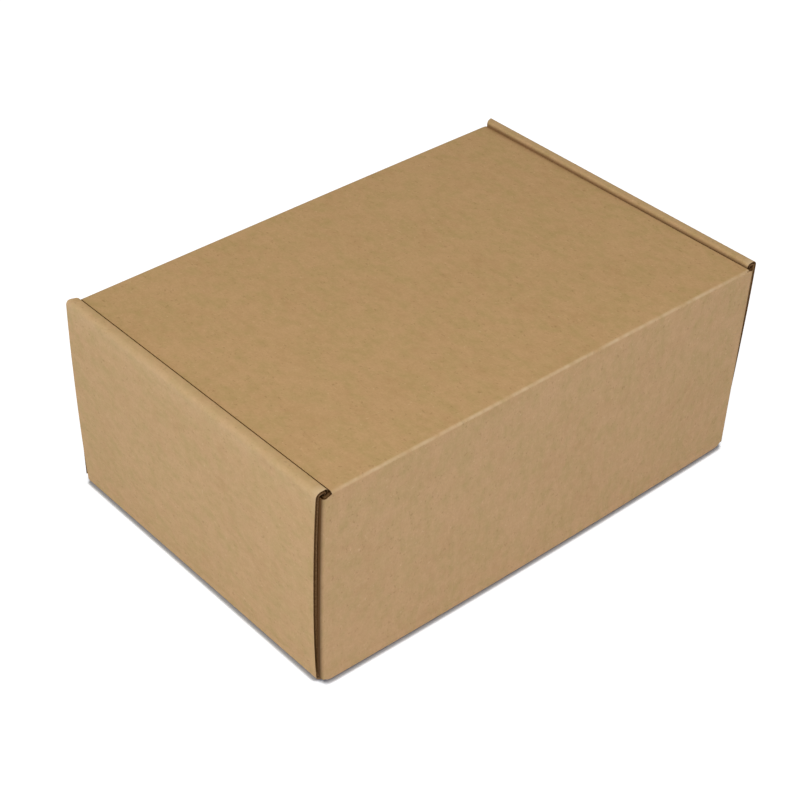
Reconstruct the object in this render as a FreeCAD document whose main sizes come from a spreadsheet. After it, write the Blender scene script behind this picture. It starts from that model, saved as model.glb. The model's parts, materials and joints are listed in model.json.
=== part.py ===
import FreeCAD, Part
import Sketcher
import math
import os

# A closed roll-end mailer with a tuck top, die-cut from one sheet of corrugated board and folded.
# +Z is up, X runs along the box's long side, and the lid turns at the back wall, on the +Y side.
# The origin is at the centre of the bottom, on the surface that the box stands on.

# Driving sizes in millimetres, apart from the lid's slope, which is in degrees.
SIZES = {
    "length": 254.0,            # over the flat side walls
    "width": 176.0,             # over the front and back walls
    "height": 104.0,            # to the top of the side ridges
    "board": 1.7,               # thickness of the corrugated board
    "fold_radius": 2.0,         # outside radius of a folded crease
    "ridge_radius": 2.4,        # outside radius where a side wall rolls over
    "layer_gap": 0.35,          # between two layers of board in a side wall
    "end_inset": 2.0,           # from a side wall's free end to the face of the front or back wall
    "wall_bow": 2.0,            # how far a side wall's outer panel bulges at half its height
    "floor_gap": 0.3,           # under the inner side panels
    "flap_reach": 64.0,         # how far a dust flap reaches along its side wall
    "flap_lift": 0.5,           # from the bottom fold up to a dust flap
    "flap_clearance": 0.4,      # from a dust flap up to the underside of the lid beside it
    "tab_length": 26.0,
    "tab_offset": 45.0,         # from the middle of a side wall to each of its tabs
    "tab_recess": 0.3,          # from the surface below the box up to a tab's end
    "slot_gap": 0.3,            # around a tab in its slot
    "lid_step": 0.8,            # from the top of the ridges down to the lid's hinge crease
    "lid_side_gap": 0.6,        # between the lid and a ridge
    "lid_slope": 0.72,          # degrees that the closed lid falls towards the front
    "lid_front_gap": 0.9,       # between the lid's front fold and the inside of the front wall
    "hinge_gap": 0.3,           # split between the lid and the back wall, in the middle of their crease
    "front_drop": 7.0,          # from the top of the ridges down to the front wall's top
    "tuck_depth": 42.0,         # from the lid down to the end of its tuck flap
    "tuck_lean": 5.0,           # how far the tuck flap's end springs inwards
    "ear_gap": 0.5,             # between an ear of the tuck flap and the inner side panel
    "ear_reach": 40.0,          # how far an ear reaches along the side wall
    "ear_bevel": 14.0,          # cut at an ear's lower corner
}

HALF_TURN = math.sqrt(0.5)      # sine and cosine of half a right-angled fold


class Size:
    """A length, with the formula in the sheet's own names that gives it."""

    def __init__(self, value, text):
        self.value = value
        self.text = text

    def joined(self, other, sign, work):
        other = other if isinstance(other, Size) else Size(other, repr(other))
        return Size(work(self.value, other.value), f"({self.text} {sign} {other.text})")

    def __add__(self, other):
        return self.joined(other, "+", lambda a, b: a + b)

    def __sub__(self, other):
        return self.joined(other, "-", lambda a, b: a - b)

    def __mul__(self, other):
        return self.joined(other, "*", lambda a, b: a * b)

    def __truediv__(self, other):
        return self.joined(other, "/", lambda a, b: a / b)

    def __neg__(self):
        return Size(-self.value, f"(-1 * {self.text})")


ZERO = Size(0.0, "0")


def make_sheet(doc):
    sheet = doc.addObject("Spreadsheet::Sheet", "Sizes")
    for row, (alias, value) in enumerate(SIZES.items(), start=1):
        sheet.set(f"A{row}", alias)
        sheet.set(f"B{row}", str(value))
        sheet.setAlias(f"B{row}", alias)
    doc.recompute()
    return {alias: Size(value, f"Sizes.{alias}") for alias, value in SIZES.items()}


def add_derived(size):
    """Adds the sizes that follow from the driving ones, under names of their own."""
    board = size["board"]
    size["side"] = size["length"] / 2
    size["end"] = size["width"] / 2
    size["panel_end"] = size["end"] - size["end_inset"]
    size["flap_face"] = size["side"] - board - size["layer_gap"]
    size["wall_end"] = size["flap_face"] - size["fold_radius"]
    size["inner_back"] = size["flap_face"] - board - size["layer_gap"]
    size["inner_face"] = size["inner_back"] - board
    size["front_top"] = size["height"] - size["front_drop"]
    size["lid_top"] = size["height"] - size["lid_step"]
    size["flap_top"] = size["lid_top"] - board - size["flap_clearance"]
    size["lid_side"] = size["inner_face"] - size["lid_side_gap"]
    size["seam"] = size["hinge_gap"] * HALF_TURN
    size["crest"] = size["fold_radius"] * (1 - HALF_TURN) - size["seam"] / 2
    size["hinge_y"] = size["end"] - size["crest"]
    size["hinge_z"] = size["lid_top"] - size["crest"]
    size["lid_reach"] = size["hinge_y"] + size["end"] - board - size["lid_front_gap"]
    size["ear_face"] = size["inner_face"] - size["ear_gap"]
    return size


def origin_plane(body, role):
    return next(plane for plane in body.Origin.OriginFeatures if plane.Role == role)


def add_sketch(body, name, role):
    sketch = body.newObject("Sketcher::SketchObject", name)
    sketch.AttachmentSupport = [(origin_plane(body, role), "")]
    sketch.MapMode = "FlatFace"
    return sketch


def arc_between(start, end, radius, turn):
    """The arc of this radius from start to end that turns left for turn 1 and right for turn -1."""
    chord = end - start
    rise = math.sqrt(radius * radius - chord.Length * chord.Length / 4) * turn
    across = FreeCAD.Vector(-chord.y, chord.x, 0).normalize()
    centre = (start + end) * 0.5 + across * rise
    first, last = (start, end) if turn > 0 else (end, start)
    angles = [math.atan2(p.y - centre.y, p.x - centre.x) for p in (first, last)]
    circle = Part.Circle(centre, FreeCAD.Vector(0, 0, 1), radius)
    return Part.ArcOfCircle(circle, angles[0], angles[1])


def tie(sketch, constraint, place):
    index = sketch.addConstraint(constraint)
    sketch.setExpression(f"Constraints[{index}]", place.text)


def add_outline(sketch, corners):
    """Draws a closed outline and ties each corner's place and each arc's radius to the sheet.

    A corner is (across, up), or (across, up, radius, turn) where an arc leads from it to the next."""
    points = [FreeCAD.Vector(c[0].value, c[1].value, 0) for c in corners]
    starts, ends = [], []
    for number, corner in enumerate(corners):
        here, following = points[number], points[(number + 1) % len(points)]
        if len(corner) == 2:
            starts.append((sketch.addGeometry(Part.LineSegment(here, following)), 1))
            ends.append((starts[-1][0], 2))
            continue
        radius, turn = corner[2:]
        arc = sketch.addGeometry(arc_between(here, following, radius.value, turn))
        starts.append((arc, 1 if turn > 0 else 2))
        ends.append((arc, 2 if turn > 0 else 1))
        tie(sketch, Sketcher.Constraint("Radius", arc, radius.value), radius)
    for number, corner in enumerate(corners):
        start = starts[number]
        sketch.addConstraint(Sketcher.Constraint("Coincident", *ends[number - 1], *start))
        for kind, place in (("DistanceX", corner[0]), ("DistanceY", corner[1])):
            tie(sketch, Sketcher.Constraint(kind, -1, 1, *start, place.value), place)


def rectangle(low_x, high_x, low_y, high_y):
    return [(low_x, low_y), (high_x, low_y), (high_x, high_y), (low_x, high_y)]


def add_pad(body, sketch, length, midplane=False):
    pad = body.newObject("PartDesign::Pad", sketch.Name + "Pad")
    pad.Profile = sketch
    pad.Midplane = midplane
    pad.setExpression("Length", length.text)
    return pad


def lift(sketch, height):
    sketch.setExpression("AttachmentOffset.Base.z", height.text)


def add_front_bottom_back(body, size):
    """The front wall, bottom and back wall, one strip of board folded twice."""
    board, fold, end = size["board"], size["fold_radius"], size["end"]
    inside = fold - board
    sketch = add_sketch(body, "WallStrip", "YZ_Plane")
    add_outline(sketch, [
        (-end, size["front_top"]),
        (-end, fold, fold, 1),
        (fold - end, ZERO),
        (end - fold, ZERO, fold, 1),
        (end, fold),
        (end, size["flap_top"]),
        (end - board, size["flap_top"]),
        (end - board, fold, inside, -1),
        (end - fold, board),
        (fold - end, board, inside, -1),
        (board - end, fold),
        (board - end, size["front_top"]),
    ])
    return add_pad(body, sketch, size["wall_end"] * 2, midplane=True)


def add_hinge_crease(body, size):
    """The back wall's top, as wide as the lid, up to the middle of the lid's hinge crease."""
    board, fold, end, seam = size["board"], size["fold_radius"], size["end"], size["seam"]
    sketch = add_sketch(body, "HingeCrease", "YZ_Plane")
    add_outline(sketch, [
        (end - board, size["flap_top"] - fold),
        (end, size["flap_top"] - fold),
        (end, size["lid_top"] - fold, fold, 1),
        (size["hinge_y"], size["hinge_z"] - seam),
        (end - board, size["lid_top"] - board - seam),
    ])
    return add_pad(body, sketch, size["lid_side"] * 2, midplane=True)


def add_side_wall(body, size):
    """A side wall: the outer panel, rolled over a narrow ridge into the inner panel."""
    board, fold, ridge = size["board"], size["fold_radius"], size["ridge_radius"]
    side, top, inner = size["side"], size["height"], size["inner_face"]
    chord = top - ridge - fold
    bow = size["wall_bow"]
    bow_radius = chord * chord / (bow * 8) + bow / 2
    sketch = add_sketch(body, "SideWall", "XZ_Plane")
    add_outline(sketch, [
        (size["wall_end"] - board, ZERO),
        (side - fold, ZERO, fold, 1),
        (side, fold, bow_radius, 1),
        (side, top - ridge, ridge, 1),
        (side - ridge, top),
        (inner + ridge, top, ridge, 1),
        (inner, top - ridge),
        (inner, board + size["floor_gap"]),
        (size["inner_back"], board + size["floor_gap"]),
        (size["inner_back"], top - ridge, ridge - board, -1),
        (inner + ridge, top - board),
        (side - ridge, top - board, ridge - board, -1),
        (side - board, top - ridge, bow_radius, -1),
        (side - board, fold, fold - board, -1),
        (side - fold, board),
        (size["wall_end"] - board, board),
    ])
    return add_pad(body, sketch, size["panel_end"] * 2, midplane=True)


def add_dust_flap(body, size, name, facing, top):
    """A dust flap, folded off the end of the front (facing -1) or back (facing 1) wall."""
    board, fold, face = size["board"], size["fold_radius"], size["flap_face"]
    wall = size["end"] * facing
    reach = (size["end"] - size["flap_reach"]) * facing
    bend = (size["end"] - fold) * facing
    inside = (size["end"] - board) * facing
    sketch = add_sketch(body, name, "XY_Plane")
    lift(sketch, fold + size["flap_lift"])
    add_outline(sketch, [
        (size["wall_end"] - board, wall),
        (size["wall_end"], wall, fold, -facing),
        (face, bend),
        (face, reach),
        (face - board, reach),
        (face - board, bend, fold - board, facing),
        (size["wall_end"], inside),
        (size["wall_end"] - board, inside),
    ])
    return add_pad(body, sketch, top - fold - size["flap_lift"])


def add_slots(body, size):
    """The slots in the bottom that take the inner side panel's tabs."""
    gap = size["slot_gap"]
    sketch = add_sketch(body, "TabSlots", "XY_Plane")
    for offset in (size["tab_offset"], -size["tab_offset"]):
        half = size["tab_length"] / 2 + gap
        low, high = size["inner_face"] - gap, size["inner_back"] + gap
        add_outline(sketch, rectangle(low, high, offset - half, offset + half))
    pocket = body.newObject("PartDesign::Pocket", "TabSlotsPocket")
    pocket.Profile = sketch
    pocket.Reversed = True
    pocket.setExpression("Length", (size["board"] + size["floor_gap"] / 2).text)
    return pocket


def add_tabs(body, size):
    """The tabs that lock the inner side panel into the bottom."""
    sketch = add_sketch(body, "Tabs", "XY_Plane")
    lift(sketch, size["tab_recess"])
    for offset in (size["tab_offset"], -size["tab_offset"]):
        half = size["tab_length"] / 2
        outline = rectangle(size["inner_face"], size["inner_back"], offset - half, offset + half)
        add_outline(sketch, outline)
    return add_pad(body, sketch, size["board"] * 2 + size["floor_gap"] - size["tab_recess"])


def make_tray(doc, size):
    """The tray: bottom, front and back walls, dust flaps and rolled-over side walls."""
    body = doc.addObject("PartDesign::Body", "tray")
    add_front_bottom_back(body, size)
    add_hinge_crease(body, size)
    doubled = [
        add_side_wall(body, size),
        add_dust_flap(body, size, "BackFlap", 1, size["flap_top"]),
        add_dust_flap(body, size, "FrontFlap", -1, size["front_top"]),
        add_slots(body, size),
        add_tabs(body, size),
    ]
    doc.recompute()
    mirrored = body.newObject("PartDesign::Mirrored", "OtherSide")
    mirrored.Originals = doubled
    mirrored.MirrorPlane = (origin_plane(body, "YZ_Plane"), [""])
    body.Tip = mirrored
    return body


def add_lid_panel(body, size):
    """The lid's panel, from the middle of its hinge crease to its front fold."""
    board, fold, crest, seam = size["board"], size["fold_radius"], size["crest"], size["seam"]
    front = -size["lid_reach"]
    sketch = add_sketch(body, "LidPanel", "YZ_Plane")
    add_outline(sketch, [
        (-seam, ZERO, fold, 1),
        (crest - fold, crest),
        (front + fold, crest, fold, 1),
        (front, crest - fold),
        (front + board, crest - fold, fold - board, -1),
        (front + fold, crest - board),
        (crest - board - seam, crest - board),
    ])
    return add_pad(body, sketch, size["lid_side"] * 2, midplane=True)


def add_tuck_flap(body, size):
    """The tuck flap and the ear at each of its ends, which spring inwards as they go down."""
    board, fold = size["board"], size["fold_radius"]
    face, front = size["ear_face"], -size["lid_reach"]
    back = front + size["ear_reach"]
    sketch = add_sketch(body, "TuckFlap", "XY_Plane")
    lift(sketch, size["crest"] - fold)
    add_outline(sketch, [
        (fold - face, front),
        (face - fold, front, fold, 1),
        (face, front + fold),
        (face, back),
        (face - board, back),
        (face - board, front + fold, fold - board, -1),
        (face - fold, front + board),
        (fold - face, front + board, fold - board, -1),
        (board - face, front + fold),
        (board - face, back),
        (-face, back),
        (-face, front + fold, fold, 1),
    ])
    drop = size["tuck_depth"] - fold
    pad = add_pad(body, sketch, drop)
    pad.UseCustomVector = True
    pad.AlongSketchNormal = True
    pad.setExpression("Direction.x", "0")
    pad.setExpression("Direction.y", size["tuck_lean"].text)
    pad.setExpression("Direction.z", (-drop).text)
    return pad


def add_ear_bevels(body, size):
    """The corner cut off the lower free end of each ear."""
    bevel, reach = size["ear_bevel"], size["ear_reach"]
    margin = size["board"]
    low = size["crest"] - size["tuck_depth"]
    back = reach + size["tuck_lean"] - size["lid_reach"]
    sketch = add_sketch(body, "EarBevel", "YZ_Plane")
    add_outline(sketch, [
        (back - bevel, low - margin),
        (back + margin, low - margin),
        (back + margin, low + bevel),
        (back - bevel, low),
    ])
    pocket = body.newObject("PartDesign::Pocket", "EarBevelPocket")
    pocket.Profile = sketch
    pocket.Midplane = True
    pocket.Type = "ThroughAll"
    return pocket


def make_lid(doc, size):
    """The lid with its tuck flap, drawn from the hinge line and laid closed on the tray."""
    body = doc.addObject("PartDesign::Body", "lid")
    add_lid_panel(body, size)
    add_tuck_flap(body, size)
    body.Tip = add_ear_bevels(body, size)
    slope = FreeCAD.Rotation(FreeCAD.Vector(1, 0, 0), size["lid_slope"].value)
    hinge = FreeCAD.Vector(0, size["hinge_y"].value, size["hinge_z"].value)
    body.Placement = FreeCAD.Placement(hinge, slope)
    body.setExpression("Placement.Base.y", size["hinge_y"].text)
    body.setExpression("Placement.Base.z", size["hinge_z"].text)
    body.setExpression("Placement.Rotation.Angle", size["lid_slope"].text)
    return body


def check(doc, bodies):
    for thing in doc.Objects:
        if "Invalid" in thing.State or "Error" in thing.State:
            raise RuntimeError(f"{thing.Name} failed: {thing.State}")
    for body in bodies:
        shape = body.Shape
        if shape.isNull() or not shape.isValid() or len(shape.Solids) != 1:
            raise RuntimeError(f"{body.Label} isn't one valid solid")


def main():
    doc = FreeCAD.newDocument("mailer")
    size = add_derived(make_sheet(doc))
    bodies = [make_tray(doc, size), make_lid(doc, size)]
    doc.recompute()
    check(doc, bodies)
    os.makedirs("parts", exist_ok=True)
    for body in bodies:
        body.Shape.exportStep(f"parts/{body.Label}.step")
        box = body.Shape.BoundBox
        print(body.Label, round(body.Shape.Volume, 1), "mm3,", "x", round(box.XMin, 2), round(box.XMax, 2),
              "y", round(box.YMin, 2), round(box.YMax, 2), "z", round(box.ZMin, 2), round(box.ZMax, 2))


main()
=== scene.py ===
import json
import math

import bpy
import numpy as np
from mathutils import Euler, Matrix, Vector


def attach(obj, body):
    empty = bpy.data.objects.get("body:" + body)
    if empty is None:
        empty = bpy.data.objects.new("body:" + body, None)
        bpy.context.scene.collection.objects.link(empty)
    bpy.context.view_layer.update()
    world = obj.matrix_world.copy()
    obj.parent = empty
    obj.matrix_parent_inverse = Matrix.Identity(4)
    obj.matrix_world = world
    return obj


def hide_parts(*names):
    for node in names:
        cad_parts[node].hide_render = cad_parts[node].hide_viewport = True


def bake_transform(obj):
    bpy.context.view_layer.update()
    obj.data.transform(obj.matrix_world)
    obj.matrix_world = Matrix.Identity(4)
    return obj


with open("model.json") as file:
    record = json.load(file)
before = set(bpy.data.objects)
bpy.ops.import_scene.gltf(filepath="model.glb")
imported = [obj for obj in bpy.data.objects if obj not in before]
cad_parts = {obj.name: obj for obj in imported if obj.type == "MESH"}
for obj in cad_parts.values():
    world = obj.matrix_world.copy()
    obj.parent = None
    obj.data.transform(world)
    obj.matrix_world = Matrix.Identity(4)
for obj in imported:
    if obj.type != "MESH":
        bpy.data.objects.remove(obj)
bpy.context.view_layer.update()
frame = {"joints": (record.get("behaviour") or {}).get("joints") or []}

# Bottom, front wall and back wall.
# One strip of fine-flute corrugated board, cut from the same sheet as all the rest: two liners of
# brown kraft paper glued to a fluted paper between them. It is creased and folded up at both ends.
# The strip's path runs on over the hinge crease into the lid and down its tuck flap.

BOARD = 0.0017
LINER = 0.00028
FLUTED_PAPER = 0.0002
FLUTE_PITCH = 0.0033
WASHBOARD = 0.000035

HEIGHT = 0.1040
BACK = 0.0880
CORNER_FACE = 0.12495
CORNER_RADIUS = 0.0014
WALL_HALF = CORNER_FACE - CORNER_RADIUS
FLOOR_HALF = 0.1200
FOLD_RADIUS = 0.0020

HINGE = Vector(frame["joints"][0]["pos_m"])
LID_SLOPE = math.radians(0.72)


def on_lid(along, up):
    """A point of the closed lid: along and up are measured from the hinge line, and both are turned
    down by the lid's slope: y = hinge + along cos - up sin, z = hinge + along sin + up cos."""
    turn, rise = math.cos(LID_SLOPE), math.sin(LID_SLOPE)
    return HINGE.y + along * turn - up * rise, HINGE.z + along * rise + up * turn


LEFT_SPRING = 0.0017
LEFT_SPRING_LOSS = 0.0007
RIGHT_SPRING = 0.0009
RIGHT_SPRING_LOSS = 0.0002
SPRING_MIDDLE = 0.056
SPRING_REACH = 0.054


def spring(side, y, z):
    """How far a side wall springs out of its plane: most at its back end, less by the loss at its
    front, and along its height a hump, 1 - |(z - middle) / reach| ^ 2.4."""
    forward = (BACK - y) / (2 * BACK)
    left = LEFT_SPRING - LEFT_SPRING_LOSS * forward
    right = RIGHT_SPRING - RIGHT_SPRING_LOSS * forward
    hump = np.clip(1 - abs((z - SPRING_MIDDLE) / SPRING_REACH) ** 2.4, 0, None)
    return np.where(side > 0, left, right) * hump


FLARE = 0.0070
FLOOR_BOW = 0.0014
BACK_LEAN = 0.0006
LEAN_WAY = 0.0008
FOLLOW_FROM = 0.0980
FOLLOW_WAY = 0.0258
FOLLOW_SHARE = 0.4
CORNER_SWELL = 0.0018
SWELL_FROM = 0.0836
SWELL_WAY = 0.0014
LEFT_PUSH = 0.0002
RIGHT_PULL = 0.0006


def settled(points, side_wall=False):
    """The set that the folded box has taken. It is longer at its top than at its bottom, because the
    rolled ridges push outwards: x grows by the flare times 2 z / height - 1. The foot of the back
    and front walls bows inwards to its ends, by the bow times (x / half)^2 (1 - z / height). Over
    the last 26 mm of these walls, the left corners follow a share of the side wall's spring and
    swell outwards, most at the foot, and the right ones are pulled in a little. All but the front
    wall leans towards the front, by the lean times z / height."""
    x, y, z = points[..., 0], points[..., 1], points[..., 2]
    low = np.clip(1 - z / HEIGHT, 0, 1)
    bow = FLOOR_BOW * (x / WALL_HALF) ** 2 * low * (abs(y) / BACK) ** 4
    follow = np.clip((abs(x) - FOLLOW_FROM) / FOLLOW_WAY, 0, 1) ** 2 * (abs(y) > 0.02) * (not side_wall)
    swell = CORNER_SWELL * low * np.clip((abs(y) - SWELL_FROM) / SWELL_WAY, 0, 1)
    pushed = x + np.where(x > 0, FOLLOW_SHARE * spring(1, y, z) + swell + LEFT_PUSH, RIGHT_PULL) * follow
    flared = pushed * (1 + FLARE * (2 * z / HEIGHT - 1))
    lean = BACK_LEAN * z / HEIGHT * np.clip((y + BACK - BOARD) / LEAN_WAY, 0, 1)
    return np.stack([flared, y - np.sign(y) * bow - lean, z], axis=-1)


TIGHTEST_FOLD = 0.0001


def fold_path(corners, step, outside=1.0):
    """Straight runs between corner points, each corner turned on an arc of its own radius.
    On a run a point is start + heading * length. On an arc it is centre + radius * (cos, sin) of an
    angle that goes evenly from one run's normal to the next. Gives the points, the normals that
    point out of the sheet, the length run so far, how far each fold is crushed there, and how much
    it is rubbed. A corner is (across, up, radius, rub), the last two left out where it is straight."""
    spots = np.array([corner[:2] for corner in corners], float)
    radii = [corner[2] if len(corner) > 2 else 0.0 for corner in corners]
    rubs = [corner[3] if len(corner) > 3 else 0.0 for corner in corners]
    runs = np.diff(spots, axis=0)
    headings = runs / np.linalg.norm(runs, axis=1)[:, None]
    normals = outside * np.stack([headings[:, 1], -headings[:, 0]], axis=1)
    places, facings, folds, wears = [], [], [], []
    start = spots[0]
    for index in range(1, len(spots)):
        heading = headings[index - 1]
        last = index == len(spots) - 1
        turn = 0.0 if last else math.acos(np.clip(heading @ headings[index], -1, 1))
        setback = radii[index] * math.tan(turn / 2)
        end = spots[index] - heading * setback
        length = np.linalg.norm(end - start)
        count = max(2, int(math.ceil(length / step)) + 1)
        share = np.linspace(0, 1, count)[:, None]
        places.append(start + share * (end - start))
        facings.append(np.repeat(normals[index - 1][None], count, axis=0))
        folds.append(np.zeros(count))
        wears.append(np.zeros(count))
        start = spots[index]
        if setback > 0:
            first, second = normals[index - 1], normals[index]
            towards = 1.0 if first @ headings[index] < 0 else -1.0
            centre = end - towards * first * radii[index]
            angle = np.linspace(0, turn, 9)[1:-1, None]
            facing = first * np.sin(turn - angle) / math.sin(turn) + second * np.sin(angle) / math.sin(turn)
            places.append(centre + towards * facing * radii[index])
            facings.append(facing)
            swell = np.sin(angle[:, 0] / turn * math.pi)
            folds.append(swell ** 0.5 * max(0.0, 1 - (radii[index] - TIGHTEST_FOLD) / BOARD))
            wears.append(swell * rubs[index])
            start = spots[index] + headings[index] * setback
    place, facing = np.concatenate(places), np.concatenate(facings)
    fold, wear = np.concatenate(folds), np.concatenate(wears)
    step_on = np.linalg.norm(np.diff(place, axis=0), axis=1)
    new = np.concatenate([[True], step_on > 1e-7])
    run = np.concatenate([[0.0], np.cumsum(step_on)])
    return place[new], facing[new], run[new], fold[new], wear[new]


def lines(low, high, step, *exact):
    """Evenly spaced values from low to high, with the exact ones put in among them and the even ones
    that would crowd them left out."""
    even = np.linspace(low, high, max(2, int(round((high - low) / step)) + 1))
    inside = [value for value in exact if low < value < high]
    far = [min([abs(value - other) for other in inside] + [1.0]) > step * 0.2 for value in even]
    far[0] = far[-1] = True
    return np.unique(np.concatenate([even[far], inside]))


def skin(near, far, keep):
    """One closed sheet of paper between two grids of points: every kept cell gets a face on the near
    grid and one on the far grid, and every side of a cell with no kept neighbour gets a rim."""
    rows, columns = near.shape[:2]
    number = np.arange(rows * columns).reshape(rows, columns)
    away = rows * columns
    corner = [number[:-1, :-1], number[1:, :-1], number[1:, 1:], number[:-1, 1:]]
    middle = np.cross(near[1:, :-1] - near[:-1, :-1], near[:-1, 1:] - near[:-1, :-1])
    if np.sum((middle * (near - far)[:-1, :-1])[keep]) < 0:
        corner = [corner[0], corner[3], corner[2], corner[1]]
        sides = [((-1, 0), 0), ((0, 1), 1), ((1, 0), 2), ((0, -1), 3)]
    else:
        sides = [((0, -1), 0), ((1, 0), 1), ((0, 1), 2), ((-1, 0), 3)]
    outer = np.stack([part[keep] for part in corner], axis=1)
    faces, rims = [outer, outer[:, ::-1] + away], []
    padded = np.pad(keep, 1)
    for (down, across), first in sides:
        shift = padded[1 + down:rows + down, 1 + across:columns + across]
        edge = keep & ~shift
        a, b = corner[first][edge], corner[(first + 1) % 4][edge]
        rims.append(np.stack([b, a, a + away, b + away], axis=1))
    points = np.concatenate([near.reshape(-1, 3), far.reshape(-1, 3)])
    faces, rims = np.concatenate(faces), np.concatenate(rims)
    return points, np.concatenate([faces, rims]), len(faces)


def board(name, path, columns, place, cut=None, flutes_across=True, settle=None, crest=0.0, rub=None):
    """A panel of corrugated board: the outer liner, the fluted paper and the inner liner, each a
    closed skin. place(a, b, t) gives the room's coordinates for a path point (a, b) sunk into the
    sheet and a distance t across the path. The fluted paper's depth is the board's middle plus a
    cosine of the distance from a crest of the wave, and the liners sink between its crests by a hair.
    cut picks the cells that are left out, settle sinks the board further, and rub gives its wear, which
    below zero is painted shade."""
    spot, facing, run, fold, wear = path
    across = np.broadcast_to(columns, (len(run), np.shape(columns)[-1]))
    along = np.broadcast_to(run[:, None], across.shape)
    wave = 2 * math.pi * ((along if flutes_across else across) - crest) / FLUTE_PITCH
    hollow = WASHBOARD * (0.5 - 0.5 * np.cos(wave))
    rubbed = wear[:, None] * np.ones(across.shape) if rub is None else rub(along, across, wear[:, None])
    crushed = 1 - np.broadcast_to(fold[:, None], across.shape)
    extra = 0.0 if settle is None else settle(along, across, rubbed)
    middle = BOARD / 2 + (BOARD / 2 - LINER - FLUTED_PAPER / 2) * np.cos(wave)
    sheets = [
        (hollow + extra, LINER + hollow + extra),
        (middle - FLUTED_PAPER / 2 + extra, middle + FLUTED_PAPER / 2 + extra),
        (BOARD - LINER - hollow + extra, BOARD - hollow + extra),
    ]
    keep = np.ones((len(run) - 1, across.shape[1] - 1), bool)
    if cut is not None:
        centre_run = (along[1:, 1:] + along[:-1, 1:]) / 2
        centre_across = (across[1:, 1:] + across[1:, :-1]) / 2
        keep = ~cut(centre_run, centre_across)
    points, faces, papers, rims, total = [], [], [], [], 0
    for order, (near, far) in enumerate(sheets):
        grids = [place(spot[:, :1] - facing[:, :1] * depth * crushed,
                       spot[:, 1:] - facing[:, 1:] * depth * crushed, across)
                 for depth in (near, far)]
        vertices, quads, flat = skin(grids[0], grids[1], keep)
        rim = np.arange(len(quads)) >= flat
        paper = np.where(rim | (order == 1), 1, 0)
        points.append(vertices)
        faces.append(quads + total)
        papers.append(paper)
        rims.append(rim)
        total += len(vertices)
    points, faces, papers = np.concatenate(points), np.concatenate(faces), np.concatenate(papers)
    flat_face = np.concatenate(rims)
    flat_map = np.stack([across, along] if flutes_across else [along, across], axis=2).reshape(-1, 2)
    flat_map = np.tile(flat_map, (6, 1))
    rubbed = np.tile(rubbed.reshape(-1), 6)
    used, renumbered = np.unique(faces, return_inverse=True)
    faces = renumbered.reshape(-1, 4)
    mesh = bpy.data.meshes.new(name)
    mesh.from_pydata(points[used], [], faces)
    mesh.polygons.foreach_set("material_index", papers.astype(np.int32))
    mesh.polygons.foreach_set("use_smooth", ~flat_face)
    layer = mesh.uv_layers.new(name="flutes")
    layer.data.foreach_set("uv", flat_map[used][faces.reshape(-1)].astype(np.float32).reshape(-1))
    # Above zero the attribute holds wear on the folds; below zero it holds painted shade.
    wear_and_painted_shade = mesh.attributes.new("rubbed", "FLOAT", "POINT")
    wear_and_painted_shade.data.foreach_set("value", rubbed[used].astype(np.float32))
    ends = np.zeros(len(mesh.edges) * 2, np.int32)
    mesh.edges.foreach_get("vertices", ends)
    ends = np.sort(ends.reshape(-1, 2).astype(np.int64), axis=1)
    cut_face = faces[flat_face]
    cut_ends = np.sort(np.stack([cut_face, np.roll(cut_face, -1, axis=1)], axis=2).reshape(-1, 2), axis=1)
    sharp = np.isin(ends @ [len(used), 1], cut_ends.astype(np.int64) @ [len(used), 1])
    mesh.attributes.new("sharp_edge", "BOOLEAN", "EDGE").data.foreach_set("value", sharp)
    mesh.update()
    piece = bpy.data.objects.new(name, mesh)
    bpy.context.scene.collection.objects.link(piece)
    return piece


def spread(nodes, links, value, low, high, first=0.0, last=1.0):
    """A node that runs evenly from first to last while the value runs from low to high."""
    node = nodes.new("ShaderNodeMapRange")
    for socket, limit in (("From Min", low), ("From Max", high), ("To Min", first), ("To Max", last)):
        node.inputs[socket].default_value = limit
    links.new(value, node.inputs["Value"])
    return node


def combine(nodes, links, operation, first, second, clamped=False):
    """The sum, the product or the larger of two values."""
    node = nodes.new("ShaderNodeMath")
    node.operation = operation
    node.use_clamp = clamped
    links.new(first, node.inputs[0])
    links.new(second, node.inputs[1])
    return node.outputs["Value"]


def tint(nodes, links, amount, under, over):
    """One colour laid over another by an amount from 0 to 1. Each may be the output of a node."""
    mix = nodes.new("ShaderNodeMix")
    mix.data_type = "RGBA"
    links.new(amount, mix.inputs["Factor"])
    for socket, colour in (("A", under), ("B", over)):
        if isinstance(colour, tuple):
            mix.inputs[socket].default_value = (*colour, 1)
        else:
            links.new(colour, mix.inputs[socket])
    return mix.outputs["Result"]


# Reach of the ambient occlusion that paints shade into the gaps, and the heights over which the foot of the
# box is left unshaded.
GAP_REACH = 0.009
FOOT_OPEN = 0.0055
FOOT_OVER = 0.0120


def gap_shade_mask(nodes, links):
    """Painted shade from ambient occlusion: from 0 in the narrow gaps between layers of board to 1 in the
    open. The foot of the box counts as open, since it stands as close to the floor as to a layer of board."""
    hollow = nodes.new("ShaderNodeAmbientOcclusion")
    hollow.samples = 16
    hollow.inputs["Distance"].default_value = GAP_REACH
    in_open = spread(nodes, links, hollow.outputs["AO"], 0.22, 0.92)
    where = nodes.new("ShaderNodeTexCoord")
    split = nodes.new("ShaderNodeSeparateXYZ")
    links.new(where.outputs["Object"], split.inputs["Vector"])
    at_foot = spread(nodes, links, split.outputs["Z"], FOOT_OPEN, FOOT_OVER, 1.0, 0.0)
    return combine(nodes, links, "MAXIMUM", in_open.outputs["Result"], at_foot.outputs["Result"])


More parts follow.
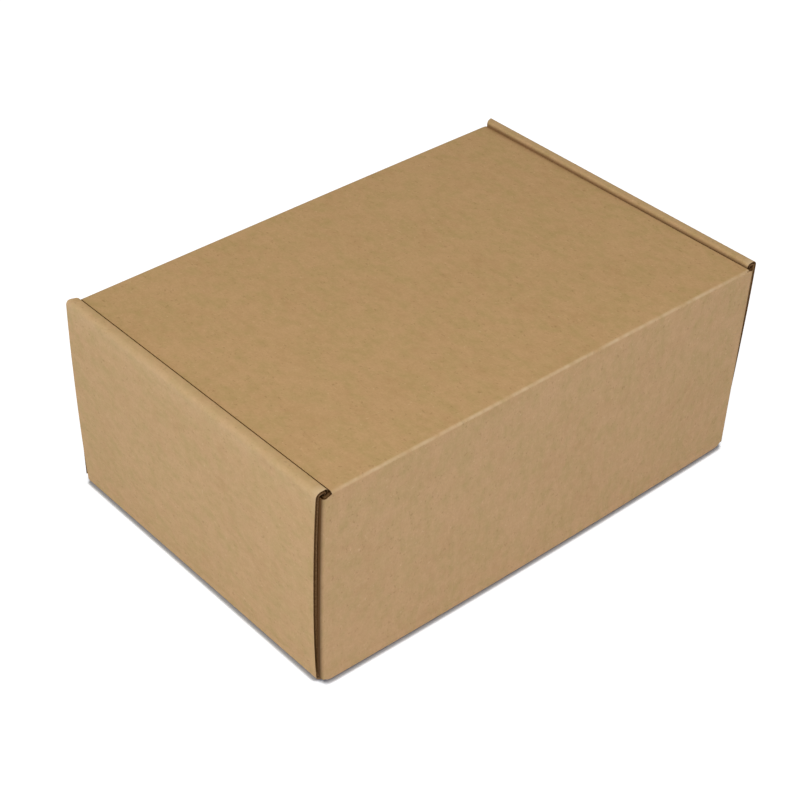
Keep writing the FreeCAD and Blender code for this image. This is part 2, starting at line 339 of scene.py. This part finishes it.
KRAFT_DEEP = (0.466, 0.279, 0.116)
KRAFT_LIGHT = (0.516, 0.321, 0.139)
KRAFT_WARM = (0.524, 0.318, 0.144)
KRAFT_OLIVE = (0.447, 0.301, 0.116)
KRAFT_PALE = (0.578, 0.355, 0.164)
FIBRE_SHADE = (0.372, 0.215, 0.085)
DARK_FLECK = (0.265, 0.140, 0.051)
PALE_FLECK = (0.657, 0.448, 0.232)
RUBBED_KRAFT = (0.610, 0.435, 0.235)
PAINTED_SHADE_BROWN = (0.048, 0.016, 0.002)
# The next colour and the two edge colours below it are painted shade, laid into the gaps between layers of
# board.
PAINTED_GAP_SHADE = (0.200, 0.092, 0.026)
EDGE_DARK = (0.150, 0.078, 0.030)
EDGE_PALE = (0.270, 0.152, 0.062)
TRAY_EDGE_GAP_SHADE = (0.046, 0.016, 0.002)
LID_EDGE_GAP_SHADE = (0.190, 0.094, 0.030)


def kraft_liner():
    """Brown kraft liner: a warm mid brown, clouded at four sizes, with short fibres, dark and pale
    flecks, a paler rubbed line on each crease, and painted shade in turned corners, the right ridge and
    gaps."""
    material = bpy.data.materials.new("kraft liner")
    material.use_nodes = True
    nodes, links = material.node_tree.nodes, material.node_tree.links
    paper = nodes["Principled BSDF"]
    paper.inputs["Roughness"].default_value = 0.86
    paper.inputs["Specular IOR Level"].default_value = 0.12
    flat = nodes.new("ShaderNodeUVMap")
    flat.uv_map = "flutes"

    def clouds(scale, detail, stretch=(1, 1, 1), shift=0.0):
        """Uneven patches from 0 to 1 on the flat sheet, along and across the flutes."""
        turned = nodes.new("ShaderNodeMapping")
        turned.inputs["Scale"].default_value = stretch
        turned.inputs["Location"].default_value = (shift, shift * 0.7, shift * 0.3)
        noise = nodes.new("ShaderNodeTexNoise")
        noise.inputs["Scale"].default_value = scale
        noise.inputs["Detail"].default_value = detail
        noise.inputs["Roughness"].default_value = 0.6
        links.new(flat.outputs["UV"], turned.inputs["Vector"])
        links.new(turned.outputs["Vector"], noise.inputs["Vector"])
        return noise.outputs["Fac"]

    def ramp(value, low, high, strength=1.0):
        """From 0 to the strength while the value runs from low to high."""
        return spread(nodes, links, value, low, high, 0.0, strength).outputs["Result"]

    wear_and_painted_shade = nodes.new("ShaderNodeAttribute")
    wear_and_painted_shade.attribute_name = "rubbed"
    patchy = ramp(clouds(260, 3, (1, 1, 1), 8.3), 0.15, 0.5)
    rubbed = combine(nodes, links, "MULTIPLY", ramp(wear_and_painted_shade.outputs["Fac"], 0.0, 0.8), patchy)
    colour = tint(nodes, links, ramp(clouds(26, 3), 0.36, 0.64), KRAFT_DEEP, KRAFT_LIGHT)
    for amount, over in (
        (ramp(clouds(82, 4, (1, 0.75, 1), 4.1), 0.38, 0.66, 0.85), KRAFT_WARM),
        (ramp(clouds(130, 4, (1, 0.7, 1), 6.7), 0.42, 0.62, 0.9), KRAFT_OLIVE),
        (ramp(clouds(290, 4, (1, 0.6, 1), 0.31), 0.34, 0.66, 0.62), KRAFT_PALE),
        (ramp(clouds(1100, 3, (1, 0.7, 1), 1.7), 0.30, 0.70, 0.28), FIBRE_SHADE),
        (ramp(clouds(780, 2, (1, 0.6, 1), 3.1), 0.64, 0.73, 0.38), DARK_FLECK),
        (ramp(clouds(860, 2, (0.8, 0.6, 1), 5.9), 0.66, 0.75, 0.34), PALE_FLECK),
        (rubbed, RUBBED_KRAFT),
        # Below zero the wear attribute paints shade: the corner folds of the dust flaps and the inner half
        # of the right ridge darken towards this colour.
        (ramp(wear_and_painted_shade.outputs["Fac"], 0.0, -1.0, 0.93), PAINTED_SHADE_BROWN),
    ):
        colour = tint(nodes, links, amount, colour, over)
    # Painted shade: the colour darkens towards a deep brown in narrow gaps between layers of board.
    colour = tint(nodes, links, gap_shade_mask(nodes, links), PAINTED_GAP_SHADE, colour)
    links.new(colour, paper.inputs["Base Color"])
    relief = nodes.new("ShaderNodeBump")
    relief.inputs["Strength"].default_value = 0.35
    relief.inputs["Distance"].default_value = 0.00006
    links.new(clouds(900, 4, (1, 0.65, 1), 2.2), relief.inputs["Height"])
    links.new(relief.outputs["Normal"], paper.inputs["Normal"])
    return material


def cut_paper(name, gap_shade):
    """The raw edge of the board and its fluted paper: darker, duller and a little mottled, and painted in
    the given shade colour deep in between layers of board."""
    material = bpy.data.materials.new(name)
    material.use_nodes = True
    nodes, links = material.node_tree.nodes, material.node_tree.links
    paper = nodes["Principled BSDF"]
    paper.inputs["Roughness"].default_value = 0.95
    paper.inputs["Specular IOR Level"].default_value = 0.0
    where = nodes.new("ShaderNodeTexCoord")
    fuzz = nodes.new("ShaderNodeTexNoise")
    fuzz.inputs["Scale"].default_value = 1400
    fuzz.inputs["Detail"].default_value = 3
    shade = nodes.new("ShaderNodeValToRGB")
    for stop, position, colour in ((0, 0.35, EDGE_DARK), (1, 0.68, EDGE_PALE)):
        shade.color_ramp.elements[stop].position = position
        shade.color_ramp.elements[stop].color = (*colour, 1)
    links.new(where.outputs["Object"], fuzz.inputs["Vector"])
    links.new(fuzz.outputs["Fac"], shade.inputs["Fac"])
    # Painted shade: the edge darkens towards the given colour in narrow gaps between layers of board.
    colour = tint(nodes, links, gap_shade_mask(nodes, links), gap_shade, shade.outputs["Color"])
    links.new(colour, paper.inputs["Base Color"])
    return material


liner = kraft_liner()
tray_edge = cut_paper("cut edge and fluting of the tray", TRAY_EDGE_GAP_SHADE)
lid_edge = cut_paper("cut edge and fluting of the lid", LID_EDGE_GAP_SHADE)


def finish_board(piece, body):
    """The liner goes on the faces and the cut paper on the edges and the fluting."""
    piece.data.materials.append(liner)
    piece.data.materials.append(lid_edge if body == "lid" else tray_edge)
    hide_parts(body)


def stroll(value, length, seed):
    """A slow uneven wander between -1 and 1: the mean of three sines whose lengths don't divide."""
    turns = 2 * math.pi * value / length
    slow, middling = np.sin(turns + seed), np.sin(turns * 1.73 + seed * 2.9)
    return (slow + middling + np.sin(turns * 2.61 + seed * 5.3)) / 3


FRONT_TOP = 0.0970
CORNER_TOP = 0.1011
CREASE_START = 0.0995
CREASE_END = 0.0810
CREASE_RUB = 0.48
HINGE_RADIUS = 0.0013
FOLD_RUB = 0.3
LID_HALF = 0.1206
LID_REACH = 0.17292
CREST = 0.00048
TUCK_DEPTH = 0.042
TUCK_LEAN = 0.005

lid_back = on_lid(CREASE_END - HINGE.y, CREST)
lid_front = on_lid(-LID_REACH, CREST)
tuck_end = on_lid(TUCK_LEAN - LID_REACH, CREST - TUCK_DEPTH)
hinge_corner_z = HINGE.z + CREST + (BACK - HINGE.y) * math.sin(LID_SLOPE)
strip = fold_path([
    (-BACK, FRONT_TOP),
    (-BACK, 0.0, FOLD_RADIUS, FOLD_RUB),
    (BACK, 0.0, FOLD_RADIUS, FOLD_RUB),
    (BACK, CREASE_START),
    (BACK, hinge_corner_z, HINGE_RADIUS, CREASE_RUB),
    lid_back,
    (*lid_front, FOLD_RADIUS, FOLD_RUB),
    tuck_end,
], FLUTE_PITCH / 6)


def part_of(path, keep):
    """The rows of a path that a test on its points picks out."""
    return tuple(array[keep] for array in path)


def across_x(a, b, t):
    """The strip's own place: its path lies in the y-z plane and its width along x."""
    return settled(np.stack([t, a, b], axis=2))


def run_at(path, a, b):
    """The length run to the path point nearest to (a, b)."""
    return path[2][np.argmin(np.hypot(path[0][:, 0] - a, path[0][:, 1] - b))]


crease_run = run_at(strip, BACK, CREASE_START)
lid_run = run_at(strip, *lid_back)
floor_runs = run_at(strip, FOLD_RADIUS - BACK, 0.0), run_at(strip, BACK - FOLD_RADIUS, 0.0)


def beside_floor(along, across):
    """Where the strip's floor gives way to the side walls' own floor strips, and its top to the
    lid's crease: only the back wall's two corners stand up beside that."""
    inside = (along > floor_runs[0]) & (along < floor_runs[1])
    return inside & (abs(across) > FLOOR_HALF) | (along > crease_run) & (abs(across) < LID_HALF)


FOOT_ROUND = 0.0034
FOOT_LIFT = 0.0022
FOOT_FADE = 0.020
CORNER_SLANT = 0.0009


def corner_up(a, b, t):
    """The strip's place, with the two corners beside the crease cut aslant, higher next to the lid,
    and the feet of its four corners rounded: they rise by the lift times the square of the way
    across the rounding, less by the square of the height over the fade."""
    rounded = np.clip((abs(t) - WALL_HALF + FOOT_ROUND) / FOOT_ROUND, 0, 1) ** 2
    on_wall = abs(a) > BACK - FOLD_RADIUS - 1e-6
    b = b + FOOT_LIFT * rounded * np.clip(1 - b / FOOT_FADE, 0, 1) ** 2 * on_wall
    aslant = np.clip((b - CREASE_START) / (CORNER_TOP - CREASE_START), 0, 1)
    beside = np.clip((WALL_HALF - abs(t)) / (WALL_HALF - LID_HALF), 0, 1)
    return across_x(a, b + CORNER_SLANT * aslant * beside * (a > 0), t)


top_run = crease_run + CORNER_TOP - CREASE_START
corner_rows = np.linspace(crease_run, top_run, 4)[1:, None]
on_up = np.ones((3, 1))
stem = part_of(strip, strip[2] <= crease_run + 1e-6)
walls = board(
    "front_bottom_back",
    (
        np.concatenate([stem[0], np.hstack([on_up * BACK, corner_rows - crease_run + CREASE_START])]),
        np.concatenate([stem[1], np.hstack([on_up, 0 * on_up])]),
        np.concatenate([stem[2], corner_rows[:, 0]]),
        np.concatenate([stem[3], np.zeros(3)]),
        np.concatenate([stem[4], np.zeros(3)]),
    ),
    np.unique(np.concatenate([
        lines(-WALL_HALF, WALL_HALF, 0.0220, -LID_HALF, -FLOOR_HALF, FLOOR_HALF, LID_HALF),
        *[sign * (WALL_HALF - FOOT_ROUND * np.array([0.75, 0.5, 0.22])) for sign in (-1, 1)],
    ])),
    corner_up,
    cut=beside_floor,
)
finish_board(walls, "tray")
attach(walls, "tray")

# Hinge crease.
# The back wall runs up into the lid without a cut. The crease was pressed into the board by the die,
# so its outside is rounded, rubbed paler and a little ragged.

LID_FROM = 0.0960
LID_WAY = 0.0050
DROOP = 0.0009
DROOP_LOSS = 0.0003
FRONT_ROUND = 0.0260
FRONT_ROUND_FROM = 0.0824
FRONT_ROUND_WAY = 0.0029
WIDER = 0.0016
WIDER_AT_HINGE = 0.0026
LID_SKEW = 0.0006


def drooped(a, b, t):
    """The lid's place. It droops to its right side by the square of the way over from the middle,
    less at the front, is a hair wider, most at the hinge, and lies slightly askew. Its right front
    corner is rounded off, by that share of its width times the square of the way over its last 3 mm.
    All this comes in over the first 5 mm of height at the hinge."""
    over = np.clip(-t / LID_HALF, 0, 1)
    on = np.clip((b - LID_FROM) / LID_WAY, 0, 1)
    ahead = np.clip((BACK - a) / (2 * BACK), 0, 1)
    sink = (DROOP - DROOP_LOSS * ahead) * over ** 2
    rounded = FRONT_ROUND * np.clip((-a - FRONT_ROUND_FROM) / FRONT_ROUND_WAY, 0, 1) ** 2 * (t < 0)
    wider = 1 + (WIDER + WIDER_AT_HINGE * (1 - ahead)) * on - rounded * on ** 3
    skew = LID_SKEW * ahead * t / LID_HALF
    return settled(np.stack([t * wider, a + skew, b - sink * on], axis=2), side_wall=True)


RAGGED_SLOW = 0.00009
RAGGED_QUICK = 0.00005


def ragged(along, across, rubbed):
    """The crease sinks by up to a quarter of a millimetre, unevenly along its length."""
    slow, quick = 1 + stroll(across, 0.021, 0.7), 1 + stroll(across, 0.0063, 2.0)
    return rubbed * (RAGGED_SLOW * slow + RAGGED_QUICK * quick)


def worn_unevenly(along, across, wear):
    """The rubbed line comes and goes along the crease: wear * (0.8 + 0.45 and 0.4 times two wanders)."""
    return wear * (0.80 + 0.45 * stroll(across, 0.047, 1.3) + 0.40 * stroll(across, 0.013, 4.1))


hinge_rows = (strip[2] >= crease_run - 1e-6) & (strip[2] <= lid_run + 1e-6)
crease = board(
    "hinge_crease",
    part_of(strip, hinge_rows),
    lines(-LID_HALF, LID_HALF, 0.001),
    drooped,
    settle=ragged,
    rub=worn_unevenly,
)
finish_board(crease, "tray")
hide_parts("lid")
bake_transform(crease)

# Back wall's corner parts and the four dust flaps.
# The front and back walls turn their corners on rounded folds and end in flaps that are trapped
# inside the doubled side walls. Their top edges are raw, cut along the flutes.

FLAP_FOOT = 0.0006
FLAP_REACH = 0.064
FLAP_LIFT = 0.0016


def turned_corner(a, b, t, side, end):
    """The flap's place. Its foot goes on from the wall's rounded one, and is cut aslant, higher by
    the flap's own lift where it has turned the corner."""
    turned = np.clip((BACK - b) / CORNER_RADIUS, 0, 1)
    raised = t + (FOOT_LIFT + FLAP_LIFT * turned) * np.clip(1 - t / FOOT_FADE, 0, 1) ** 2
    return settled(np.stack([side * a, end * b, raised], axis=2))


for side, side_name in ((1, "left"), (-1, "right")):
    for end, top, end_name in ((1, CORNER_TOP, "back"), (-1, FRONT_TOP, "front")):
        path = fold_path([
            (WALL_HALF, BACK),
            (CORNER_FACE, BACK, CORNER_RADIUS),
            (CORNER_FACE, BACK - FLAP_REACH),
        ], 0.006, outside=-1.0)
        # The wear runs below zero from where the wall starts to turn: painted shade, growing over the
        # corner fold and full on the rest of the flap behind the side wall.
        turned_in = path[2] / (CORNER_RADIUS * math.pi / 2)
        path = (*path[:4], -np.clip(turned_in, 0, 1) ** 1.2)
        flap = board(
            f"dust_flap_{end_name}_{side_name}",
            path,
            lines(FLAP_FOOT, top, FLUTE_PITCH / 6),
            lambda a, b, t, side=side, end=end: turned_corner(a, b, t, side, end),
            flutes_across=False,
            crest=top,
        )
        finish_board(flap, "tray")
        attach(flap, "tray")

# Side walls.
# Each is an outer panel that folds up from the bottom, a double crease that rolls it over in a
# rounded ridge, and an inner panel that locks into slots in the bottom with two tabs. The springy
# board bulges where nothing holds it, most at the near back corner.

SIDE = 0.1270
SIDE_END = 0.0859
OUTER_FRONT = 0.0854
INNER_FRONT = 0.0834
FOOT_CUT = 0.0019
RIDGE_RADIUS = 0.0026
RIDGE_INNER_RADIUS = 0.0018
INNER_FACE = 0.1212
INNER_BACK = 0.1229
INNER_FOOT = 0.0020
TAB_END = 0.0003
TAB_OFFSET = 0.0450
TAB_HALF = 0.0130
SLOT_GAP = 0.0003
OUTER_FROM = 0.1215
OUTER_WAY = 0.0045
SPRUNG_FROM = 0.1240
END_FROM = 0.0600
END_WAY = 0.0262
# The height over which the painted shade on the ridge's inner half fades out down the inner panel.
SHADE_FADE = 0.012
WORN_END = 0.005

side_path = fold_path([
    (FLOOR_HALF, 0.0),
    (INNER_FACE - SLOT_GAP, 0.0),
    (INNER_BACK + SLOT_GAP, 0.0),
    (SIDE, 0.0, FOLD_RADIUS, FOLD_RUB),
    (SIDE, HEIGHT, RIDGE_RADIUS),
    (INNER_FACE, HEIGHT, RIDGE_INNER_RADIUS),
    (INNER_FACE, INNER_FOOT),
    (INNER_FACE, TAB_END),
], 0.0105)
slot_runs = run_at(side_path, INNER_FACE - SLOT_GAP, 0.0), run_at(side_path, INNER_BACK + SLOT_GAP, 0.0)
tab_run = run_at(side_path, INNER_FACE, INNER_FOOT)


def slots_and_tabs(along, across):
    """The slots are cut out of the floor strip, and all but the tabs out of the last rows."""
    from_tab = abs(abs(across) - TAB_OFFSET)
    slot = (along > slot_runs[0]) & (along < slot_runs[1]) & (from_tab < TAB_HALF + SLOT_GAP)
    return slot | ((along > tab_run) & (from_tab > TAB_HALF))


ridge_runs = (run_at(side_path, SIDE, HEIGHT - RIDGE_RADIUS),
              run_at(side_path, INNER_FACE, HEIGHT - RIDGE_INNER_RADIUS))


def ridge_wear_and_shade(along, across, wear, painted_shade):
    """The rolled ridge is rubbed a little pale all along, and paler at its very back end. Its inner
    half gets painted shade: its amount times the way from the middle of the ridge to the end of its
    curve, to the power 2.2, fading out down the inner panel."""
    inwards = np.clip((along - np.mean(ridge_runs)) / (np.ptp(ridge_runs) / 2), 0, 1) ** 2.2
    wear = wear - painted_shade * inwards * np.clip(1 - (along - ridge_runs[1]) / SHADE_FADE, 0, 1)
    on_ridge = np.clip(1 - abs(along - np.mean(ridge_runs)) / (np.ptp(ridge_runs) * 0.7), 0, 1)
    at_end = np.clip(1 - (SIDE_END - across) / WORN_END, 0, 1) ** 1.5
    return wear + 0.2 * on_ridge ** 0.5 + 0.8 * on_ridge * at_end


tab_lines = [sign * (TAB_OFFSET + reach) for sign in (-1, 1)
             for reach in (-TAB_HALF - SLOT_GAP, -TAB_HALF, TAB_HALF, TAB_HALF + SLOT_GAP)]
# The last number is the painted shade on the inner half of the ridge: none on the left, some on the right.
for side, side_name, dip, curl, out, painted_shade in (
    (1, "left", 0.0018, 0.0, 0.0, 0.0),
    (-1, "right", 0.0008, 0.0012, 0.0008, 0.6),
):
    def sprung(a, b, t, side=side, dip=dip, curl=curl, out=out):
        """The outer panel springs out, its back end is cut back a little towards the foot, and its
        front end reaches a little further than the inner panel's. The wall's height falls towards
        the front by its dip. Only the last 26 mm at each end move, by their share of the way. The
        right ridge leans out at the back, by out * z / height, and curls in towards the front."""
        outer = np.clip((a - OUTER_FROM) / OUTER_WAY, 0, 1)
        back_share = np.clip((t - END_FROM) / END_WAY, 0, 1)
        front_share = np.clip((-t - END_FROM) / END_WAY, 0, 1)
        back_cut = FOOT_CUT * np.clip(1 - b / HEIGHT, 0, 1) ** 1.3 * outer
        front_cut = SIDE_END - INNER_FRONT - (OUTER_FRONT - INNER_FRONT) * outer
        y = t - back_cut * back_share + front_cut * front_share
        forward = (BACK - y) / (2 * BACK)
        x = a + spring(side, y, b) * (a > SPRUNG_FROM)
        rise = np.clip(b / HEIGHT, 0, 1)
        x = x + out * (1 - forward) * rise - curl * forward * rise ** 24
        z = b * (1 - dip / HEIGHT * forward)
        return settled(np.stack([side * x, y, z], axis=2), side_wall=True)

    wall = board(
        f"side_wall_{side_name}",
        side_path,
        lines(-SIDE_END, SIDE_END, FLUTE_PITCH / 6, *tab_lines),
        sprung,
        cut=slots_and_tabs,
        flutes_across=False,
        crest=SIDE_END,
        rub=lambda along, across, wear, painted_shade=painted_shade: ridge_wear_and_shade(along, across, wear, painted_shade),
    )
    finish_board(wall, "tray")
    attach(wall, "tray")

# Lid and tuck flap.
# The same strip of board goes on from the crease: the flat lid between the ridges, its front fold,
# and the flap that tucks down behind the front wall and leans inwards. It droops to one side.

EAR_FACE = 0.1207
lid_rows = strip[2] >= lid_run - 1e-6
tuck_run = strip[2][strip[4] > 0][-1]


def beside_tuck(along, across):
    """Below its front fold the strip is narrower, where the ears turn off it."""
    return (along > tuck_run + 0.0003) & (abs(across) > EAR_FACE - FOLD_RADIUS)


lid = board(
    "lid_and_tuck_flap",
    part_of(strip, lid_rows),
    lines(-LID_HALF, LID_HALF, 0.0101, -EAR_FACE + FOLD_RADIUS, EAR_FACE - FOLD_RADIUS),
    drooped,
    cut=beside_tuck,
)
finish_board(lid, "lid")
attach(lid, "lid")

# Ears of the tuck flap.
# The tuck flap turns back at each end on a rounded fold, in an ear with its lower corner cut off.
# The ears slide down between the side walls and hold the lid shut by friction.

EAR_REACH = 0.0400
EAR_BEVEL = 0.0140
for side, side_name in ((1, "left"), (-1, "right")):
    ear_path = fold_path([
        (EAR_FACE - FOLD_RADIUS, -LID_REACH),
        (EAR_FACE, -LID_REACH, FOLD_RADIUS),
        (EAR_FACE, EAR_REACH - EAR_BEVEL - LID_REACH),
        (EAR_FACE, EAR_REACH - LID_REACH),
    ], 0.003)
    ear_top = CREST - FOLD_RADIUS
    share = np.linspace(0, 1, int((TUCK_DEPTH - FOLD_RADIUS) / FLUTE_PITCH * 6))
    to_end = np.clip(ear_path[0][:, 1] - (EAR_REACH - EAR_BEVEL - LID_REACH), 0, None)
    drop = (TUCK_DEPTH - FOLD_RADIUS - to_end)[:, None]

    def leaning(a, b, t, side=side):
        """The ear's foot leans inwards with the tuck flap: y moves by lean * how far down it is."""
        y, z = on_lid(b + TUCK_LEAN * (ear_top - t) / (TUCK_DEPTH - FOLD_RADIUS), t)
        return settled(np.stack([side * a, y, z], axis=2), side_wall=True)

    ear = board(
        f"tuck_ear_{side_name}",
        ear_path,
        ear_top - share[None] * drop,
        leaning,
        flutes_across=False,
    )
    finish_board(ear, "lid")
    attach(ear, "lid")

# Floor, light and camera.
# A white floor in a white room, with three soft boxes, seen from above the left back corner.

FLOOR_REACH = 6
FLOOR_DROP = 0.00005
FLOOR_GLOW = 0.84
FLOOR_BOUNCE = 0.90
FLOOR_SEEN = 0.36
ROOM_LIGHT = 0.46
ROOM_SEEN = 1.0
CONTACT_REACH = 0.003

floor_mesh = bpy.data.meshes.new("floor")
floor_corners = [(across * FLOOR_REACH, ahead * FLOOR_REACH, -FLOOR_DROP)
                 for across, ahead in ((-1, -1), (1, -1), (1, 1), (-1, 1))]
floor_mesh.from_pydata(floor_corners, [], [(0, 1, 2, 3)])
floor = bpy.data.objects.new("floor", floor_mesh)
bpy.context.scene.collection.objects.link(floor)
white = bpy.data.materials.new("white floor")
white.use_nodes = True
nodes, links = white.node_tree.nodes, white.node_tree.links
surface = nodes["Principled BSDF"]
surface.inputs["Roughness"].default_value = 1.0
surface.inputs["Specular IOR Level"].default_value = 0.0
surface.inputs["Emission Color"].default_value = (1, 1, 1, 1)
rays = nodes.new("ShaderNodeLightPath")
# For camera rays the floor has a darker own colour but glows white, except within 3 mm of the box, where
# the ambient occlusion dims the glow: a painted contact shadow over the lamps' own shadow.
contact = nodes.new("ShaderNodeAmbientOcclusion")
contact.samples = 12
contact.inputs["Distance"].default_value = CONTACT_REACH
in_view = rays.outputs["Is Camera Ray"]
seen = spread(nodes, links, in_view, 0.0, 1.0, FLOOR_BOUNCE, FLOOR_SEEN)
open_air = spread(nodes, links, contact.outputs["AO"], 0.58, 0.92, 0.0, FLOOR_GLOW)
open_air.interpolation_type = "SMOOTHSTEP"
glow = combine(nodes, links, "MULTIPLY", in_view, open_air.outputs["Result"])
links.new(seen.outputs["Result"], surface.inputs["Base Color"])
links.new(glow, surface.inputs["Emission Strength"])
floor_mesh.materials.append(white)

world = bpy.data.worlds.new("studio")
bpy.context.scene.world = world
world.use_nodes = True
nodes, links = world.node_tree.nodes, world.node_tree.links
rays = nodes.new("ShaderNodeLightPath")
either = combine(nodes, links, "ADD", rays.outputs["Is Camera Ray"], rays.outputs["Is Glossy Ray"], True)
direct = combine(nodes, links, "ADD", either, rays.outputs["Is Transmission Ray"], True)
level = spread(nodes, links, direct, 0.0, 1.0, ROOM_LIGHT, ROOM_SEEN)
links.new(level.outputs["Result"], nodes["Background"].inputs["Strength"])
nodes["Background"].inputs["Color"].default_value = (1, 1, 1, 1)


def lamp(name, place, aim, size, power, colour):
    """A square soft box at place, turned to face aim."""
    data = bpy.data.lights.new(name, "AREA")
    data.shape = "SQUARE"
    data.size = size
    data.energy = power
    data.color = colour
    body = bpy.data.objects.new(name, data)
    body.location = place
    body.rotation_euler = (Vector(aim) - Vector(place)).to_track_quat("-Z", "Y").to_euler()
    bpy.context.scene.collection.objects.link(body)


lamp("soft box overhead", (0.50, 0.40, 0.95), (0.05, 0.05, 0.05), 0.5, 4.95, (1.0, 0.98, 0.92))
lamp("soft box at the left", (1.9, -0.1, 0.35), (0, 0, 0.05), 1.4, 13.2, (0.745, 1.0, 1.64))
lamp("soft box at the right", (-0.1, 1.9, 0.35), (0, 0, 0.05), 1.4, 9.2, (0.77, 1.0, 1.94))

camera_data = bpy.data.cameras.new("camera")
camera_data.sensor_width = 36.0
camera_data.lens = 87.0383
camera_data.shift_x = 0.00888
camera_data.shift_y = -0.00286
camera_data.clip_start = 0.01
camera_data.dof.use_dof = False
camera = bpy.data.objects.new("camera", camera_data)
camera.location = (0.48455, 0.52093, 0.58134)
camera.rotation_euler = Euler([math.radians(angle) for angle in (52.5784, -1.3557, 138.8832)])
bpy.context.scene.collection.objects.link(camera)
bpy.context.scene.camera = camera
bpy.context.scene.view_settings.view_transform = "Standard"
